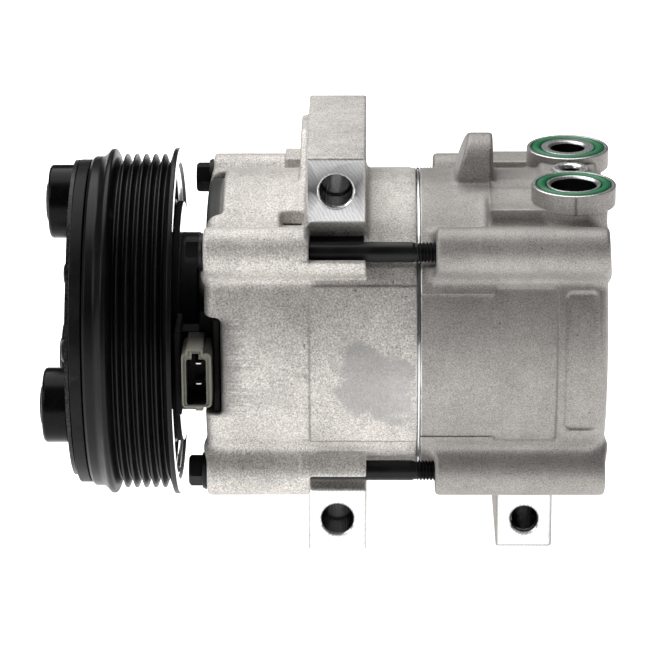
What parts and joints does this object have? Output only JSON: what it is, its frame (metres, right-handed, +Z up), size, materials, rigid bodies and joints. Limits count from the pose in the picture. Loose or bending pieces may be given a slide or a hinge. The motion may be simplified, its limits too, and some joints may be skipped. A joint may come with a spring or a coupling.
{
  "type": "automotive air conditioning compressor",
  "caption": "Fixed-displacement swash-plate air conditioning compressor with an electromagnetic clutch and grooved belt pulley.",
  "frame": {"origin": "centre of the hub bolt's front face, on the shaft line", "axes": "+X rearwards along the shaft, +Z up towards the refrigerant ports, the coil connector faces -Y"},
  "size_m": [0.2121, 0.1312, 0.1548],
  "materials": {
    "cast_front": "sand-blasted die cast, fine grain",
    "cast_rear": "die cast, smoother and slightly darker",
    "machined": "machined bright",
    "steel": "ground steel",
    "black_bolt": "black oxide",
    "black_paint": "satin black",
    "black_gloss": "glossy black",
    "armature_steel": "satin black",
    "coil": "black resin on steel",
    "damper_rubber": "matte",
    "seal_rubber": "matte",
    "green_seal": "smooth green",
    "connector": "olive grey moulded",
    "tinned": "tin plated"
  },
  "bodies": {
    "housing": {"front_housing": "cast_front", "rear_housing": "cast_rear", "seam_gasket": "machined", "front_cylinder_block": "machined", "rear_cylinder_block": "machined", "front_reed_disc": "steel", "front_valve_plate": "steel", "rear_reed_disc": "steel", "rear_valve_plate": "steel", "front_needle_bearing": "steel", "rear_needle_bearing": "steel", "front_thrust_bearing": "steel", "rear_thrust_bearing": "steel", "shaft_seal": "seal_rubber", "seal_retaining_ring": "steel", "through_bolt_1": "black_bolt", "through_bolt_2": "black_bolt", "through_bolt_3": "black_bolt", "through_bolt_4": "black_bolt", "bearing_inner_race": "steel", "bearing_retaining_ring": "steel", "field_coil": "coil", "coil_retaining_ring": "steel", "coil_connector": "connector", "connector_terminal_1": "tinned", "connector_terminal_2": "tinned", "suction_port_seal": "green_seal", "discharge_port_seal": "green_seal"},
    "pulley": {"pulley": "black_paint", "bearing_outer_race": "steel"},
    "bearing_cage": {"bearing_ball_cage": "steel"},
    "shaft": {"shaft": "steel", "swash_plate": "steel", "drive_hub": "black_paint", "hub_bolt": "steel", "damper_cup_1": "black_gloss", "damper_cup_2": "black_gloss", "damper_cup_3": "black_gloss", "damper_rubber_1": "damper_rubber", "damper_rubber_2": "damper_rubber", "damper_rubber_3": "damper_rubber"},
    "armature": {"armature_plate": "armature_steel", "damper_pin_1": "black_gloss", "damper_pin_2": "black_gloss", "damper_pin_3": "black_gloss"},
    "front_shoe_1": {"front_shoe_1": "steel"},
    "rear_shoe_1": {"rear_shoe_1": "steel"},
    "piston_1": {"piston_1": "machined"},
    "front_shoe_2": {"front_shoe_2": "steel"},
    "rear_shoe_2": {"rear_shoe_2": "steel"},
    "piston_2": {"piston_2": "machined"},
    "front_shoe_3": {"front_shoe_3": "steel"},
    "rear_shoe_3": {"rear_shoe_3": "steel"},
    "piston_3": {"piston_3": "machined"},
    "front_shoe_4": {"front_shoe_4": "steel"},
    "rear_shoe_4": {"rear_shoe_4": "steel"},
    "piston_4": {"piston_4": "machined"},
    "front_shoe_5": {"front_shoe_5": "steel"},
    "rear_shoe_5": {"rear_shoe_5": "steel"},
    "piston_5": {"piston_5": "machined"}
  },
  "joints": [
    {"name": "pulley_spin", "type": "hinge", "parent": "housing", "child": "pulley", "pos_m": [0.024, 0, 0], "axis": [1, 0, 0], "continuous": true},
    {"name": "bearing_cage_spin", "type": "hinge", "parent": "housing", "child": "bearing_cage", "pos_m": [0.024, 0, 0], "axis": [1, 0, 0], "continuous": true},
    {"name": "shaft_spin", "type": "hinge", "parent": "housing", "child": "shaft", "pos_m": [0.13235, 0, 0], "axis": [1, 0, 0], "continuous": true},
    {"name": "armature_travel", "type": "slide", "parent": "shaft", "child": "armature", "axis": [1, 0, 0], "range_m": [0, 0.00045], "stiffness_N_per_m": 60000},
    {"name": "front_shoe_1_glide", "type": "hinge", "parent": "shaft", "child": "front_shoe_1", "pos_m": [0.13235, 0, 0], "axis": [0.9613, 0, -0.2756], "continuous": true},
    {"name": "rear_shoe_1_glide", "type": "hinge", "parent": "front_shoe_1", "child": "rear_shoe_1", "pos_m": [0.14244, 0, 0.03518], "axis": [0.9613, 0, -0.2756], "continuous": true},
    {"name": "piston_1_stroke", "type": "hinge", "parent": "rear_shoe_1", "child": "piston_1", "pos_m": [0.14244, 0, 0.03518], "axis": [1, 0, 0], "continuous": true},
    {"name": "front_shoe_2_glide", "type": "hinge", "parent": "shaft", "child": "front_shoe_2", "pos_m": [0.13235, 0, 0], "axis": [0.9613, 0, -0.2756], "continuous": true},
    {"name": "rear_shoe_2_glide", "type": "hinge", "parent": "front_shoe_2", "child": "rear_shoe_2", "pos_m": [0.13547, -0.03481, 0.01087], "axis": [0.9613, 0, -0.2756], "continuous": true},
    {"name": "piston_2_stroke", "type": "hinge", "parent": "rear_shoe_2", "child": "piston_2", "pos_m": [0.13547, -0.03481, 0.01087], "axis": [1, 0, 0], "continuous": true},
    {"name": "front_shoe_3_glide", "type": "hinge", "parent": "shaft", "child": "front_shoe_3", "pos_m": [0.13235, 0, 0], "axis": [0.9613, 0, -0.2756], "continuous": true},
    {"name": "rear_shoe_3_glide", "type": "hinge", "parent": "front_shoe_3", "child": "rear_shoe_3", "pos_m": [0.12419, -0.02151, -0.02846], "axis": [0.9613, 0, -0.2756], "continuous": true},
    {"name": "piston_3_stroke", "type": "hinge", "parent": "rear_shoe_3", "child": "piston_3", "pos_m": [0.12419, -0.02151, -0.02846], "axis": [1, 0, 0], "continuous": true},
    {"name": "front_shoe_4_glide", "type": "hinge", "parent": "shaft", "child": "front_shoe_4", "pos_m": [0.13235, 0, 0], "axis": [0.9613, 0, -0.2756], "continuous": true},
    {"name": "rear_shoe_4_glide", "type": "hinge", "parent": "front_shoe_4", "child": "rear_shoe_4", "pos_m": [0.12419, 0.02151, -0.02846], "axis": [0.9613, 0, -0.2756], "continuous": true},
    {"name": "piston_4_stroke", "type": "hinge", "parent": "rear_shoe_4", "child": "piston_4", "pos_m": [0.12419, 0.02151, -0.02846], "axis": [1, 0, 0], "continuous": true},
    {"name": "front_shoe_5_glide", "type": "hinge", "parent": "shaft", "child": "front_shoe_5", "pos_m": [0.13235, 0, 0], "axis": [0.9613, 0, -0.2756], "continuous": true},
    {"name": "rear_shoe_5_glide", "type": "hinge", "parent": "front_shoe_5", "child": "rear_shoe_5", "pos_m": [0.13547, 0.03481, 0.01087], "axis": [0.9613, 0, -0.2756], "continuous": true},
    {"name": "piston_5_stroke", "type": "hinge", "parent": "rear_shoe_5", "child": "piston_5", "pos_m": [0.13547, 0.03481, 0.01087], "axis": [1, 0, 0], "continuous": true}
  ],
  "couplings": [
    {"joint": "bearing_cage_spin", "follows": "pulley_spin", "ratio": 0.5298},
    {"joint": "front_shoe_1_glide", "follows": "shaft_spin", "ratio": -1},
    {"joint": "rear_shoe_1_glide", "follows": "shaft_spin", "ratio": 1},
    {"joint": "piston_1_stroke", "follows": "shaft_spin", "ratio": -1},
    {"joint": "front_shoe_2_glide", "follows": "shaft_spin", "ratio": -1},
    {"joint": "rear_shoe_2_glide", "follows": "shaft_spin", "ratio": 1},
    {"joint": "piston_2_stroke", "follows": "shaft_spin", "ratio": -1},
    {"joint": "front_shoe_3_glide", "follows": "shaft_spin", "ratio": -1},
    {"joint": "rear_shoe_3_glide", "follows": "shaft_spin", "ratio": 1},
    {"joint": "piston_3_stroke", "follows": "shaft_spin", "ratio": -1},
    {"joint": "front_shoe_4_glide", "follows": "shaft_spin", "ratio": -1},
    {"joint": "rear_shoe_4_glide", "follows": "shaft_spin", "ratio": 1},
    {"joint": "piston_4_stroke", "follows": "shaft_spin", "ratio": -1},
    {"joint": "front_shoe_5_glide", "follows": "shaft_spin", "ratio": -1},
    {"joint": "rear_shoe_5_glide", "follows": "shaft_spin", "ratio": 1},
    {"joint": "piston_5_stroke", "follows": "shaft_spin", "ratio": -1}
  ]
}
